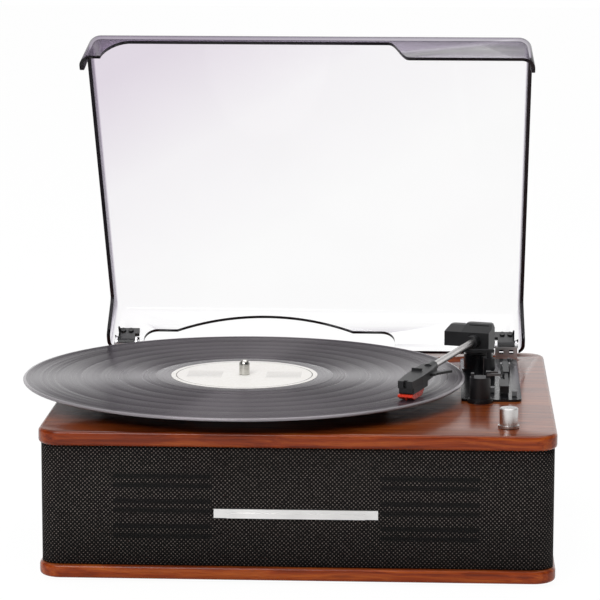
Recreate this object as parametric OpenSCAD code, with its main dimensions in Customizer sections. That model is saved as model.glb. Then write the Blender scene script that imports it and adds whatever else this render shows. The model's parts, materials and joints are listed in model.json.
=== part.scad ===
// Stereo music centre: a belt-driven record player in a wooden case with built-in
// speakers behind a wrap-around cloth, and a smoked dust cover that stands open.
// +Z is up, +X is to the right, +Y is to the back. The origin is in the middle of
// the four feet, on the surface that the case stands on. Sizes are millimetres.

/* [Case] */
// Width of the top and base boards
case_w = 334; // [326:1:350]
// Depth of the top and base boards
case_d = 299; // [297:1:315]
// Corner radius of the boards in plan
corner_r = 15; // [12:0.5:18]
// Thickness of the top board
top_t = 9.8; // [9:0.1:12]
// Thickness of the base board
base_t = 8.8; // [8:0.1:12]
// Height of the cloth-covered walls
wall_h = 78.3; // [76:0.1:95]
// Thickness of the wooden walls
wall_t = 9; // [8:0.5:11]
// Thickness of the grille cloth
cloth_t = 0.8; // [0.6:0.1:1]
// Distance of the cloth behind the boards' edges at the sides
side_inset = 1.5; // [1:0.1:3]
// Distance of the cloth behind the boards' front edge
front_inset = 3; // [2:0.1:4]
// Distance of the walls behind the boards' back edge
back_inset = 2; // [1:0.1:3]
// Width that the cloth wraps onto the back
cloth_wrap = 22; // [18:1:28]
// Height of a rubber foot
foot_h = 3.1; // [2.5:0.1:5]
// Radius of a rubber foot
foot_r = 8; // [6:0.5:12]
// Distance of a foot's centre from the board's edges
foot_inset = 32; // [26:1:50]
// Side of a corner block
block_side = 16; // [14:1:16]

/* [Front] */
// Distance of the front baffle's ends from the side walls
baffle_margin = 15.7; // [14:0.1:22]
// Height of the front baffle
baffle_h = 62; // [58:1:66]
// Gap round a board that is let into a wall
board_gap = 0.2; // [0.1:0.05:0.3]
// Length of a louvre slot
slot_l = 64; // [50:1:70]
// Height of a louvre slot
slot_h = 3.2; // [2:0.1:4]
// Distance between the two slots of a pair
slot_pitch = 6.2; // [5:0.1:7]
// Distance between the pairs of slots
pair_pitch = 16.5; // [14:0.5:18]
// Length of the trim bar
bar_l = 105.5; // [80:0.5:110]
// Height of the trim bar
bar_h = 5.9; // [4:0.1:8]
// Thickness of the trim bar
bar_t = 1.4; // [1:0.1:2]
// Height of the trim bar's middle above the base board
bar_up = 35; // [30:0.1:44]
// Height of the rib along the trim bar
bar_rib = 0.8; // [0.5:0.1:1.2]

/* [Speakers] */
// Distance of a speaker's axis from the middle
speaker_x = 86; // [80:1:92]
// Radius of a speaker's frame
speaker_r = 34; // [30:0.5:35]
// Radius of a speaker's cone at its mouth
cone_r = 27; // [24:0.5:28]
// Depth of a speaker's basket
basket_d = 20; // [18:0.5:26]
// Radius of a speaker's magnet
magnet_r = 17; // [15:0.5:19]
// Thickness of a speaker's magnet
magnet_t = 10; // [8:0.5:14]

/* [Back] */
// Distance of the back panel's ends from the side walls
panel_margin = 30.7; // [28:0.1:40]
// Height of the back panel
panel_h = 60; // [52:1:64]
// Thickness of the back panel
panel_t = 4; // [3:0.5:5]
// Width of the ledge that the back panel rests on
ledge = 7; // [6:0.5:9]
// Radius of the power inlet's hole
dc_bore_r = 2.8; // [2.5:0.05:3]
// Radius of the power inlet's centre pin
dc_pin_r = 1; // [0.8:0.05:1.2]
// Outer radius of a line output socket
rca_r = 4.15; // [4:0.05:4.3]
// Radius of the jack socket's hole
jack_r = 1.8; // [1.75:0.05:1.9]

/* [Platter] */
// Distance of the spindle to the right of the middle
spindle_x = -42.3; // [-46:0.1:-38]
// Distance of the spindle behind the middle
spindle_y = -12; // [-15:0.1:-8]
// Radius of the platter
platter_r = 99; // [92:1:100]
// Height of the platter's top above the deck
platter_up = 8.5; // [8:0.1:10]
// Thickness of the platter's plate
platter_t = 3; // [2.5:0.1:4]
// Gap between the platter and the hole in the top board
well_gap = 4; // [3:0.5:5]
// Thickness of the mat
mat_t = 1.6; // [1:0.1:2]
// Radius of the spindle above the platter
spindle_r = 3.57; // [3.5:0.01:3.6]
// Height of the spindle above the record
spindle_up = 10.6; // [8:0.1:12]
// Radius of the spindle's shaft in its bush
shaft_r = 3; // [2.5:0.1:3.2]
// Radial clearance of a shaft in its bearing
shaft_gap = 0.05; // [0.03:0.01:0.08]
// Radius of a long-playing record
record_r = 150.8; // [150:0.1:151]
// Thickness of the record
record_t = 1.7; // [1.4:0.1:2]
// Radius of the record's label
label_r = 50; // [45:0.5:52]
// Thickness of the record's label
label_t = 0.2; // [0.15:0.05:0.3]

/* [Drive] */
// Radius of the belt ring under the platter
ring_r = 55; // [50:1:60]
// Radius of the motor pulley where the belt runs
pulley_r = 3.2; // [2.8:0.1:4]
// Distance of the motor from the spindle
motor_away = 68; // [66:1:74]
// Direction of the motor from the spindle
motor_dir = 225; // [200:5:250]
// Width of the belt
belt_w = 5; // [4:0.5:5.5]
// Thickness of the belt
belt_t = 0.8; // [0.6:0.1:1.2]
// Radius of the motor
motor_r = 16; // [14:0.5:17]
// Height of the motor
motor_h = 22; // [18:1:28]
// Thickness of the steel chassis plate
chassis_t = 2.5; // [1.5:0.1:3]

/* [Tonearm] */
// Distance of the arm's pivot to the right of the middle
arm_x = 118.5; // [117.5:0.5:119]
// Distance of the arm's pivot behind the middle
arm_y = 70; // [69:0.5:71]
// Turn of the arm inward from straight ahead
arm_turn = 16.35; // [15:0.05:17]
// Distance of the stylus tip from the pivot
arm_reach = 174; // [172:0.5:176]
// Height of the arm tube's axis above the deck
arm_up = 24.3; // [24:0.1:25]
// Outer radius of the arm tube
tube_r = 2.3; // [2:0.05:2.5]
// Radius of the arm's column
column_r = 10.4; // [9:0.1:11]
// Thickness of the glossy plate under the arm
plate_t = 1.6; // [1:0.1:2]
// Radius of the arm rest's post
rest_r = 7; // [6:0.1:7.5]
// Height of the arm rest's post above the deck
rest_up = 17.3; // [16:0.1:18]
// Radius at which the lift bar passes under the arm
lift_r = 30; // [29:0.5:34]
// Clearance between moving pieces
gap = 0.4; // [0.3:0.05:0.5]

/* [Knob] */
// Distance of the volume knob from the deck's right edge
knob_in_x = 31; // [30:0.5:33]
// Distance of the volume knob from the deck's front edge
knob_in_y = 27; // [26.5:0.1:29.5]
// Radius of the volume knob
knob_r = 6; // [5:0.1:6.3]
// Height of the volume knob
knob_h = 12.8; // [11:0.1:16]

/* [Dust cover] */
// Distance of the cover's sides from the deck's side edges
lid_in_side = 14; // [11:0.5:16]
// Distance of the cover's front from the deck's front edge
lid_in_front = 11.5; // [10:0.5:12]
// Distance of the cover's back behind the hinge axis
lid_over = 2.5; // [2:0.1:3]
// Height of the cover's top above the deck when shut
lid_top = 46; // [45:0.5:50]
// Thickness of the cover's sheet
lid_t = 2.6; // [2:0.1:3]
// Gap under the cover's free edge when shut
lid_gap = 1; // [0.8:0.1:1.5]
// Slope of the cover's front wall from upright
front_slope = 20; // [16:0.5:22]
// Slope of the cover's other walls from upright
side_slope = 2; // [1:0.1:3]
// Corner radius of the cover in plan
lid_r = 9; // [8:0.5:12]
// Rounding of the cover's top edges
lid_edge = 5; // [4:0.5:7]
// Depth of the cut-outs in the cover's side and front walls
notch_d = 30; // [26:0.5:32]
// How far the cover stands open
open_angle = 56; // [50:0.1:70]
// Distance of the hinge axis from the deck's back edge
hinge_in_y = 14; // [13:0.1:15]
// Height of the hinge axis above the deck
hinge_up = 7; // [7:0.1:8]
// Distance of a hinge's middle from the cover's side
hinge_in_x = 13.5; // [13:0.5:16]
// Radius of a hinge pin
hinge_pin_r = 1.5; // [1.2:0.05:1.8]

/* [Hidden] */
$fn = 64;
eps = 0.01;

// Heights of the case
base_z = foot_h;
wall_z = base_z + base_t;
top_z = wall_z + wall_h;
deck_z = top_z + top_t;
mid_z = wall_z + wall_h / 2;

// Plan of the cloth-covered body
body_w = case_w - 2 * side_inset;
body_front = -case_d / 2 + front_inset;
body_back = case_d / 2 - back_inset;
body_d = body_back - body_front;
body_y = (body_front + body_back) / 2;
body_r = corner_r - side_inset;
frame_w = body_w - 2 * cloth_t;
frame_d = body_d - 2 * cloth_t;
frame_r = body_r - cloth_t;
frame_front = body_front + cloth_t;
frame_back = body_back - cloth_t;
inner_w = frame_w - 2 * wall_t;
baffle_w = inner_w - 2 * baffle_margin;
panel_w = inner_w - 2 * panel_margin;
inner_front = frame_front + wall_t;
inner_back = frame_back - wall_t;

// Screws
screw_r = 1.25;
screw_head_r = 2.8;
screw_head_h = 1.6;
hole_gap = 0.05;
small_r = 1;
small_head_r = 1.9;
small_head_h = 1.2;
top_screw_l = block_side + 5;
base_screw_l = base_t - 2 + wall_h / 2 - baffle_h / 2 - 1.5;
panel_screw_l = panel_t + 4.5;
speaker_screw_l = 7;
hinge_screw_l = 7;
hinge_screw_x = 3.3;
hinge_screw_y = 5;
bracket_t = 1.2;
base_screw_x = [-110, 0, 110];
base_screw_y = frame_front + wall_t / 2;
block_x = inner_w / 2 - block_side / 3;
block_front = inner_front + block_side / 3;
block_back = inner_back - block_side / 3;
panel_screw_x = [-panel_w / 2 + ledge / 2, 0, panel_w / 2 - ledge / 2];
panel_screw_z = panel_h / 2 - ledge / 2;
speaker_screw_r = (speaker_r + cone_r + 1.5) / 2;

// Sockets on the back panel
dc_x = -panel_w / 2 + 27;
jack_x = dc_x + 24;
rca_x = [jack_x + 26, jack_x + 44];
socket_z = mid_z;
socket_flange_t = 1.4;
dc_flange_r = 6.5;
dc_body_r = 5;
dc_body_l = 12;
dc_depth = 9.5;
jack_flange_r = 4.6;
jack_body_r = 3.2;
jack_body_l = 14;
jack_depth = 13;
rca_l = 9;
rca_flange_r = 6.2;
rca_body_r = 3.6;
rca_body_l = 8;
rca_hole_r = 1.6;
vent_w = 3;
vent_h = 24;
vent_count = 7;
vent_pitch = 8;
vent_x = panel_w / 2 - 63;

// Platter stack
well_r = platter_r + well_gap;
platter_z = deck_z + platter_up;
mat_z = platter_z + mat_t;
record_z = mat_z;
record_top = record_z + record_t + label_t;
mat_r = platter_r - 2;
groove_up = 0.2;
groove_h = 0.6;
groove_d = 0.3;
rim_t = 2.5;
rim_drop = 8;
ring_t = 2;
chassis_z = deck_z - top_t - chassis_t;
chassis_top = deck_z - top_t;
chassis_w = 2 * well_r + 12;
chassis_screw_l = chassis_t + 6;
plate_screw_l = plate_t + 5;
bush_r = 6;
bush_flange_r = 10;
bush_flange_t = 2;
bush_down = 15;
bush_low = chassis_z - bush_down;
belt_z = chassis_top + 4.3;
ring_low = belt_z - 0.7;
motor_x = spindle_x + motor_away * cos(motor_dir);
motor_y = spindle_y + motor_away * sin(motor_dir);
motor_shaft_r = 1;
motor_shaft_depth = 14;
motor_screw_r = 11;

// Tonearm
rest_x = arm_x;
rest_y = -39.5;
plate_left = 106;
plate_right = 146.6;
plate_front = -38;
plate_back = case_d / 2 - hinge_in_y - 21;
plate_r = 5;
plate_top = deck_z + plate_t;
arm_z = deck_z + arm_up;
column_top = deck_z + 13.4;
yoke_low = column_top + gap;
yoke_t = 2.2;
yoke_r = 9.4;
tongue_w = 7;
tongue_l = 9;
housing_low = deck_z + 17.2;
housing_top = deck_z + 34.4;
housing_brow = deck_z + 30.4;
housing_left = -9.5;
housing_right = 11;
housing_front = -13;
housing_rear = 13;
housing_ridge = 3;
housing_chamfer = 3;
lobe_left = -21.5;
lobe_low = deck_z + 20.2;
lobe_top = deck_z + 33;
boss_r = 4.6;
boss_l = 7;
pin_r = 1.25;
tube_start = 10;
shell_over = 2.5;
shell_start = arm_reach - 61;
shell_end = arm_reach + shell_over;
shell_w = 12.5;
shell_tip_w = 10;
neck_l = 7;
shell_side_l = 44;
tip_gap = 0.3;
shell_top = deck_z + 25.2;
shell_low = deck_z + 20.4;
cart_w = 10;
cart_low = deck_z + 16.2;
stylus_low = deck_z + 12.4;
lift_travel = 2.5;
bar_clear = 0.4;
lift_bar_t = 2;
lift_bar_w = 3.4;
lift_top = arm_z - tube_r - bar_clear;
lift_dir = 14;
lift_x = arm_x + lift_r * sin(lift_dir);
lift_y = arm_y - lift_r * cos(lift_dir);
lift_pin_r = 1.8;
cylinder_r = 4.2;
cylinder_top = lift_top - lift_bar_t - lift_travel - 1.5;
clip_x = rest_x + rest_r - 1.6;
clip_z = deck_z + rest_up + 2.4;
clip_pin_r = 0.8;

// Cueing lever and switches
lever_x = 137.4;
lever_pivot_y = 62;
lever_pivot_z = plate_top + 4;
lever_w = 4;
lever_pin_r = 1;
speed_x = 142;
speed_y = -24;
speed_travel = 10;
stop_x = 127;
stop_y = -12;
stop_travel = 4;
switch_w = 3.4;
switch_l = 6;
switch_h = 3.2;
switch_stem_w = 1.8;
switch_stem_l = 3;

// Volume control
pot_r = 8;
knob_x = case_w / 2 - knob_in_x;
knob_y = -case_d / 2 + knob_in_y;
pot_h = 8;
pot_bush_r = 3.8;
pot_hole_r = 4;
pot_shaft_r = 3;
flange_r = knob_r + 1;
flange_h = 1.5;
knob_lift = 0.5;

// Dust cover
hinge_y = case_d / 2 - hinge_in_y;
lid_w = case_w - 2 * lid_in_side;
lid_back = hinge_y + lid_over;
lid_front = -case_d / 2 + lid_in_front;
hinge_x = lid_w / 2 - hinge_in_x;
lid_low = deck_z + lid_gap;
lid_h = lid_top - lid_gap;
hinge_z = deck_z + hinge_up;
bracket_w = 16;
ear_t = 1.5;
ear_r = 4.2;
knuckle_w = bracket_w - 2 * ear_t - 2 * gap;
knuckle_r = 3.9;
block_t = 2.9;
block_face = hinge_y - 1.1;
post_front = 12;
post_rear = 26;
notch_run = 12;
front_left = -lid_w / 2 + 14.5;
notch_right = 110.9;
front_right = spindle_x + notch_right;
arch_x = spindle_x + 7.8;
arch_w = 185;
arch_low = 9;
arch_shoulder = 19.5;
arch_r = 10;
arch_top = 34.5;
arch_bow = 148;
arch_bow_w = 150;
arch_bow_x = spindle_x + 4.3;
cut_gap = 1;
cut_h = 11;
web_h = 11;
web_in = 9;
web_out = 6;
web_w = web_in + web_out;
web_low = ear_r + 1;
cover_screw_x = 2.8;
cover_screw_up = 8.2;
fin_t = 1.2;

module round_rect(w, d, r) {
    square([w - 2 * r, d], center = true);
    square([w, d - 2 * r], center = true);
    for (x = [-w / 2 + r, w / 2 - r], y = [-d / 2 + r, d / 2 - r])
        translate([x, y]) circle(r = r);
}

module along_y() {
    rotate([-90, 0, 0]) children();
}

module along_x() {
    rotate([0, 90, 0]) children();
}

// A wood screw with its head down at z = 0 and its shank upwards.
module wood_screw(l) {
    translate([0, 0, -screw_head_h]) cylinder(r = screw_head_r, h = screw_head_h);
    cylinder(r = screw_r, h = l);
}

module small_screw(l) {
    translate([0, 0, -small_head_h]) cylinder(r = small_head_r, h = small_head_h);
    cylinder(r = small_r, h = l);
}

// Places of the wood screws, each with its shank along +Z.
module at_base_screws() {
    for (x = base_screw_x, side = [0, 1])
        translate([x, side == 0 ? base_screw_y : frame_back - wall_t / 2, base_z + 2])
            children();
}

module at_top_screws() {
    for (x = [-block_x, block_x], y = [block_front, block_back])
        translate([x, y, top_z - block_side]) children();
}

module at_panel_screws() {
    for (x = panel_screw_x, z = [-panel_screw_z, panel_screw_z])
        translate([x, frame_back, mid_z + z]) rotate([90, 0, 0]) children();
}

module at_speaker_screws() {
    for (side = [-1, 1], a = [45 : 90 : 315])
        translate([
            side * speaker_x + speaker_screw_r * cos(a),
            inner_front + 1.5,
            mid_z + speaker_screw_r * sin(a)
        ])
            rotate([90, 0, 0]) children();
}

module at_hinge_screws() {
    for (side = [-1, 1], x = [-hinge_screw_x, hinge_screw_x])
        translate([side * hinge_x + x, hinge_y - hinge_screw_y, deck_z + bracket_t])
            rotate([180, 0, 0]) children();
}

// Case
module base_board() {
    color("saddlebrown") difference() {
        translate([0, 0, base_z]) linear_extrude(base_t) round_rect(case_w, case_d, corner_r);
        at_base_screws() translate([0, 0, -3]) cylinder(r = screw_head_r + 0.4, h = 3);
        at_base_screws() translate([0, 0, -1]) cylinder(r = screw_r + hole_gap, h = base_t + 2);
    }
}

module rubber_feet() {
    color("black")
        for (x = [-case_w / 2 + foot_inset, case_w / 2 - foot_inset])
            for (y = [-case_d / 2 + foot_inset, case_d / 2 - foot_inset])
                translate([x, y, 0]) {
                    cylinder(r1 = foot_r - 0.6, r2 = foot_r, h = foot_h);
                }
}

module cabinet_frame() {
    color("peru") difference() {
        translate([0, body_y, wall_z]) linear_extrude(wall_h) difference() {
            round_rect(frame_w, frame_d, frame_r);
            square([inner_w, frame_d - 2 * wall_t], center = true);
        }
        translate([0, frame_front + wall_t / 2, mid_z])
            cube([baffle_w + 2 * board_gap, wall_t + 2, baffle_h + 2 * board_gap], center = true);
        translate([0, frame_back - panel_t / 2 + 1, mid_z])
            cube([panel_w + 2 * board_gap, panel_t + 2, panel_h + 2 * board_gap], center = true);
        translate([0, frame_back - wall_t / 2, mid_z])
            cube([panel_w - 2 * ledge, wall_t + 2, panel_h - 2 * ledge], center = true);
        at_base_screws() cylinder(r = screw_r + hole_gap, h = base_screw_l + 1);
        at_panel_screws() cylinder(r = screw_r + hole_gap, h = panel_screw_l + 0.3);
    }
}

module corner_blocks() {
    color("burlywood") difference() {
        for (side = [-1, 1], end = [[inner_front, 1], [inner_back, -1]])
            translate([side * inner_w / 2, end[0], top_z - block_side])
                linear_extrude(block_side)
                    polygon([[0, 0], [-side * block_side, 0], [0, end[1] * block_side]]);
        at_top_screws() translate([0, 0, -1]) cylinder(r = screw_r + hole_gap, h = block_side + 2);
    }
}

module louvre_slot() {
    square([slot_l - slot_h, slot_h], center = true);
    for (x = [-1, 1]) translate([x * (slot_l - slot_h) / 2, 0]) circle(d = slot_h);
}

module front_baffle() {
    color("sienna") difference() {
        translate([0, frame_front + wall_t, mid_z]) rotate([90, 0, 0]) linear_extrude(wall_t)
            difference() {
                square([baffle_w, baffle_h], center = true);
                for (side = [-1, 1], pair = [-1, 0, 1], row = [-0.5, 0.5])
                    translate([side * speaker_x, pair * pair_pitch + row * slot_pitch])
                        louvre_slot();
                for (x = [-bar_l / 4, bar_l / 4])
                    translate([x, wall_z + bar_up - mid_z]) circle(r = 1 + hole_gap);
            }
        at_speaker_screws() cylinder(r = screw_r + hole_gap, h = speaker_screw_l);
    }
}

module grille_cloth() {
    color("#2d2623") difference() {
        translate([0, body_y, wall_z]) linear_extrude(wall_h) difference() {
            round_rect(body_w, body_d, body_r);
            round_rect(frame_w, frame_d, frame_r);
        }
        translate([0, body_back, mid_z])
            cube([body_w - 2 * cloth_wrap, 6, wall_h + 2], center = true);
        for (x = [-bar_l / 4, bar_l / 4])
            translate([x, body_front - 1, wall_z + bar_up])
                along_y() cylinder(r = 1 + hole_gap, h = cloth_t + 2);
    }
}

module badge_bar() {
    color("silver") translate([0, body_front, wall_z + bar_up]) {
        translate([-bar_l / 2, -bar_t, -bar_h / 2]) cube([bar_l, bar_t, bar_h]);
        translate([-bar_l * 0.42, -bar_t - bar_rib, -bar_h / 2])
            cube([bar_l * 0.84, bar_rib + eps, bar_h * 0.55]);
        for (x = [-bar_l / 4, bar_l / 4])
            translate([x, -eps, 0]) along_y() cylinder(r = 1, h = cloth_t + 6);
    }
}

module back_panel() {
    color("black") difference() {
        translate([-panel_w / 2, frame_back - panel_t, mid_z - panel_h / 2])
            cube([panel_w, panel_t, panel_h]);
        at_panel_screws() translate([0, 0, -1]) cylinder(r = screw_r + hole_gap, h = panel_t + 2);
        socket_hole(dc_x, dc_body_r);
        socket_hole(jack_x, jack_body_r);
        for (x = rca_x) socket_hole(x, rca_body_r);
        for (i = [0 : vent_count - 1])
            translate([vent_x + (i - (vent_count - 1) / 2) * vent_pitch, frame_back - panel_t / 2, mid_z])
                cube([vent_w, panel_t + 2, vent_h], center = true);
    }
}

module socket_hole(x, r) {
    translate([x, frame_back - panel_t - 1, socket_z])
        along_y() cylinder(r = r + hole_gap, h = panel_t + 2);
}

module dc_inlet() {
    color("dimgray") translate([dc_x, frame_back, socket_z]) difference() {
        union() {
            along_y() cylinder(r = dc_flange_r, h = socket_flange_t);
            translate([0, -dc_body_l, 0]) along_y() cylinder(r = dc_body_r, h = dc_body_l);
        }
        translate([0, socket_flange_t - dc_depth, 0]) along_y() difference() {
            cylinder(r = dc_bore_r, h = dc_depth + 1);
            translate([0, 0, -1]) cylinder(r = dc_pin_r, h = dc_depth + 0.5);
        }
    }
}

module jack_socket() {
    color("dimgray") translate([jack_x, frame_back, socket_z]) difference() {
        union() {
            along_y() cylinder(r = jack_flange_r, h = socket_flange_t);
            translate([0, -jack_body_l, 0]) along_y() cylinder(r = jack_body_r, h = jack_body_l);
        }
        translate([0, socket_flange_t - jack_depth, 0])
            along_y() cylinder(r = jack_r, h = jack_depth + 1);
    }
}

module line_out_sockets() {
    color("silver") for (x = rca_x) translate([x, frame_back, socket_z]) difference() {
        union() {
            along_y() cylinder(r = rca_flange_r, h = socket_flange_t);
            translate([0, -rca_body_l, 0]) along_y() cylinder(r = rca_body_r, h = rca_body_l + 1);
            along_y() cylinder(r = rca_r, h = socket_flange_t + rca_l);
        }
        translate([0, socket_flange_t, 0]) along_y() cylinder(r = rca_hole_r, h = rca_l + 1);
    }
}

module top_board() {
    color("saddlebrown") difference() {
        translate([0, 0, top_z]) linear_extrude(top_t) difference() {
            round_rect(case_w, case_d, corner_r);
            translate([spindle_x, spindle_y]) circle(r = well_r);
            translate([knob_x, knob_y]) circle(r = pot_hole_r);
            translate([arm_x, arm_y]) circle(r = 5);
        }
        at_top_screws() cylinder(r = screw_r + hole_gap, h = top_screw_l + 0.3);
        at_hinge_screws() cylinder(r = screw_r + hole_gap, h = hinge_screw_l + 0.3);
        at_chassis_screws() cylinder(r = small_r + hole_gap, h = chassis_screw_l + 0.3);
        at_plate_screws() cylinder(r = small_r + hole_gap, h = plate_screw_l + 0.3);
        speed_slot(top_z - 1, top_t + 2);
        stop_slot(top_z - 1, top_t + 2);
    }
}

module wood_screws() {
    color("dimgray") {
        at_base_screws() wood_screw(base_screw_l);
        at_top_screws() wood_screw(top_screw_l);
        at_panel_screws() wood_screw(panel_screw_l);
        at_speaker_screws() wood_screw(speaker_screw_l);
        at_hinge_screws() wood_screw(hinge_screw_l);
    }
}

// Speakers: each is turned about an axis along Y, with its mouth at the baffle.
module at_speaker(side) {
    translate([side * speaker_x, inner_front, mid_z]) along_y() children();
}

module speaker_basket(side) {
    color("darkslategray") difference() {
        at_speaker(side) difference() {
            union() {
                cylinder(r = speaker_r, h = 1.5);
                cylinder(r1 = cone_r + 1, r2 = magnet_r, h = basket_d);
            }
            translate([0, 0, -1]) cylinder(r = cone_r, h = 1 + 1.5);
            translate([0, 0, 1.5 - eps])
                cylinder(r1 = cone_r - 1.5, r2 = magnet_r - 4, h = basket_d - 3);
            translate([0, 0, basket_d - 4]) cylinder(r = magnet_r - 4.1, h = 6);
            for (a = [45 : 90 : 315])
                rotate([0, 0, a]) translate([cone_r - 4, 0, basket_d / 2])
                    cube([10, 16, basket_d - 10], center = true);
        }
        at_speaker_screws() translate([0, 0, -3]) cylinder(r = screw_r + hole_gap, h = speaker_screw_l);
    }
}

module speaker_cone(side) {
    color("black") at_speaker(side) translate([0, 0, 0.5]) difference() {
        union() {
            cylinder(r1 = cone_r - 0.3, r2 = 6, h = 13);
            cylinder(r = 6, h = basket_d - 1);
        }
        translate([0, 0, -eps]) cylinder(r1 = cone_r - 1.3, r2 = 5, h = 12);
    }
}

module speaker_magnet(side) {
    color("gray") at_speaker(side) translate([0, 0, basket_d])
        cylinder(r = magnet_r, h = magnet_t);
}

module speaker_left_basket() { speaker_basket(-1); }
module speaker_left_cone() { speaker_cone(-1); }
module speaker_left_magnet() { speaker_magnet(-1); }
module speaker_right_basket() { speaker_basket(1); }
module speaker_right_cone() { speaker_cone(1); }
module speaker_right_magnet() { speaker_magnet(1); }

// Amplifier
amp_x = inner_w / 2 - 85.7;
amp_y = inner_back - 47.7;
amp_w = 90;
amp_d = 56;
standoff_h = 8;
amp_hole = 4;

module at_standoffs() {
    for (x = [-amp_w / 2 + amp_hole, amp_w / 2 - amp_hole])
        for (y = [-amp_d / 2 + amp_hole, amp_d / 2 - amp_hole])
            translate([amp_x + x, amp_y + y, wall_z]) children();
}

module board_standoffs() {
    color("gold") at_standoffs() {
        cylinder(r = 2.8, h = standoff_h);
        cylinder(r = 1.4, h = standoff_h + 3);
    }
}

module amplifier_board() {
    color("seagreen") difference() {
        translate([amp_x, amp_y, wall_z + standoff_h]) {
            translate([-amp_w / 2, -amp_d / 2, 0]) cube([amp_w, amp_d, 1.6]);
            translate([-20, 6, 1]) cube([34, 14, 16]);
            for (i = [0 : 3]) translate([-30 + i * 13, -14, 1]) cylinder(r = 4, h = 13);
            translate([22, -20, 1]) cube([14, 14, 4]);
        }
        at_standoffs() cylinder(r = 1.4 + hole_gap, h = standoff_h + 4);
    }
}

// Turntable drive
module at_chassis_screws() {
    for (x = [-1, 1], y = [-1, 1])
        translate([spindle_x + x * 76, spindle_y + y * 76, chassis_z]) children();
}

module at_motor_screws() {
    for (a = [motor_dir + 90, motor_dir - 90])
        translate([
            motor_x + motor_screw_r * cos(a),
            motor_y + motor_screw_r * sin(a),
            chassis_top
        ])
            rotate([180, 0, 0]) children();
}

module chassis_plate() {
    color("lightsteelblue") difference() {
        translate([0, 0, chassis_z]) linear_extrude(chassis_t) intersection() {
            translate([spindle_x, spindle_y]) round_rect(chassis_w, chassis_w, 60);
            translate([0, body_y]) square([inner_w - 2, frame_d - 2 * wall_t - 2], center = true);
        }
        translate([spindle_x, spindle_y, chassis_z - 1])
            cylinder(r = bush_r + hole_gap, h = chassis_t + 2);
        translate([motor_x, motor_y, chassis_z - 1]) cylinder(r = 2.5, h = chassis_t + 2);
        at_chassis_screws() translate([0, 0, -1])
            cylinder(r = small_r + hole_gap, h = chassis_t + 2);
        at_motor_screws() translate([0, 0, -1])
            cylinder(r = small_r + hole_gap, h = chassis_t + 2);
    }
}

module machine_screws() {
    color("silver") {
        at_chassis_screws() small_screw(chassis_screw_l);
        at_motor_screws() small_screw(chassis_t + 4);
        at_plate_screws() small_screw(plate_screw_l);
    }
}

module spindle_bush() {
    color("goldenrod") translate([spindle_x, spindle_y, 0]) difference() {
        union() {
            translate([0, 0, bush_low]) cylinder(r = bush_r, h = chassis_top - bush_low + 1);
            translate([0, 0, chassis_top]) cylinder(r = bush_flange_r, h = bush_flange_t);
        }
        translate([0, 0, bush_low + 2]) cylinder(r = shaft_r + shaft_gap, h = 40);
    }
}

module motor() {
    color("silver") translate([motor_x, motor_y, chassis_z - motor_h]) difference() {
        union() {
            cylinder(r = motor_r, h = motor_h);
            translate([0, 0, -2]) cylinder(r = 5, h = 3);
        }
        translate([0, 0, motor_h - motor_shaft_depth])
            cylinder(r = motor_shaft_r + shaft_gap, h = motor_shaft_depth + 1);
        for (a = [motor_dir + 90, motor_dir - 90])
            translate([motor_screw_r * cos(a), motor_screw_r * sin(a), motor_h - 5])
                cylinder(r = small_r + hole_gap, h = 6);
    }
}

module motor_pulley() {
    color("goldenrod") translate([motor_x, motor_y, 0]) {
        translate([0, 0, chassis_z - motor_shaft_depth + 0.3])
            cylinder(r = motor_shaft_r, h = belt_z - chassis_z + motor_shaft_depth);
        translate([0, 0, belt_z - 0.3]) cylinder(r = pulley_r - 0.3, h = belt_w + 0.6);
        translate([0, 0, belt_z - 1.1]) cylinder(r = pulley_r + 1.4, h = 0.8);
        translate([0, 0, belt_z + belt_w + 0.3]) cylinder(r = pulley_r + 1.4, h = 0.8);
    }
}

module belt_outline(extra) {
    hull() {
        circle(r = ring_r + extra, $fn = 96);
        translate([motor_away, 0]) circle(r = pulley_r + extra, $fn = 32);
    }
}

module drive_belt() {
    color("black") translate([spindle_x, spindle_y, belt_z]) rotate([0, 0, motor_dir])
        linear_extrude(belt_w) difference() {
            belt_outline(belt_t + 0.1);
            belt_outline(0.1);
        }
}

module platter() {
    color("dimgray") translate([spindle_x, spindle_y, 0]) difference() {
        union() {
            translate([0, 0, platter_z - platter_t]) cylinder(r = platter_r, h = platter_t);
            translate([0, 0, platter_z - rim_drop]) difference() {
                cylinder(r = platter_r, h = rim_drop - eps);
                translate([0, 0, -1]) cylinder(r = platter_r - rim_t, h = rim_drop + 1);
            }
            translate([0, 0, ring_low]) difference() {
                cylinder(r = ring_r - 0.3, h = platter_z - ring_low - 1);
                translate([0, 0, -1]) cylinder(r = ring_r - 0.3 - ring_t, h = platter_z - ring_low + 2);
            }
            translate([0, 0, platter_z - platter_t - 5]) cylinder(r = 8, h = 6);
        }
        translate([0, 0, platter_z - 20]) cylinder(r = spindle_r + 0.03, h = 30);
    }
}

module platter_mat() {
    color("#1c1c1e") translate([spindle_x, spindle_y, platter_z]) difference() {
        cylinder(r = mat_r, h = mat_t);
        translate([0, 0, -1]) cylinder(r = spindle_r + 0.05, h = mat_t + 2);
    }
}

module spindle() {
    color("silver") translate([spindle_x, spindle_y, 0]) {
        translate([0, 0, bush_low + 2.2]) cylinder(r = shaft_r, h = platter_z - bush_low - 10);
        translate([0, 0, platter_z - platter_t - 5])
            cylinder(r = spindle_r, h = record_top + groove_up - platter_z + platter_t + 5);
        translate([0, 0, record_top]) cylinder(r = spindle_r - groove_d, h = 2);
        translate([0, 0, record_top + groove_up + groove_h])
            cylinder(r = spindle_r, h = spindle_up - spindle_r - groove_up - groove_h);
        translate([0, 0, record_top + spindle_up - spindle_r]) sphere(r = spindle_r);
    }
}

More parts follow.
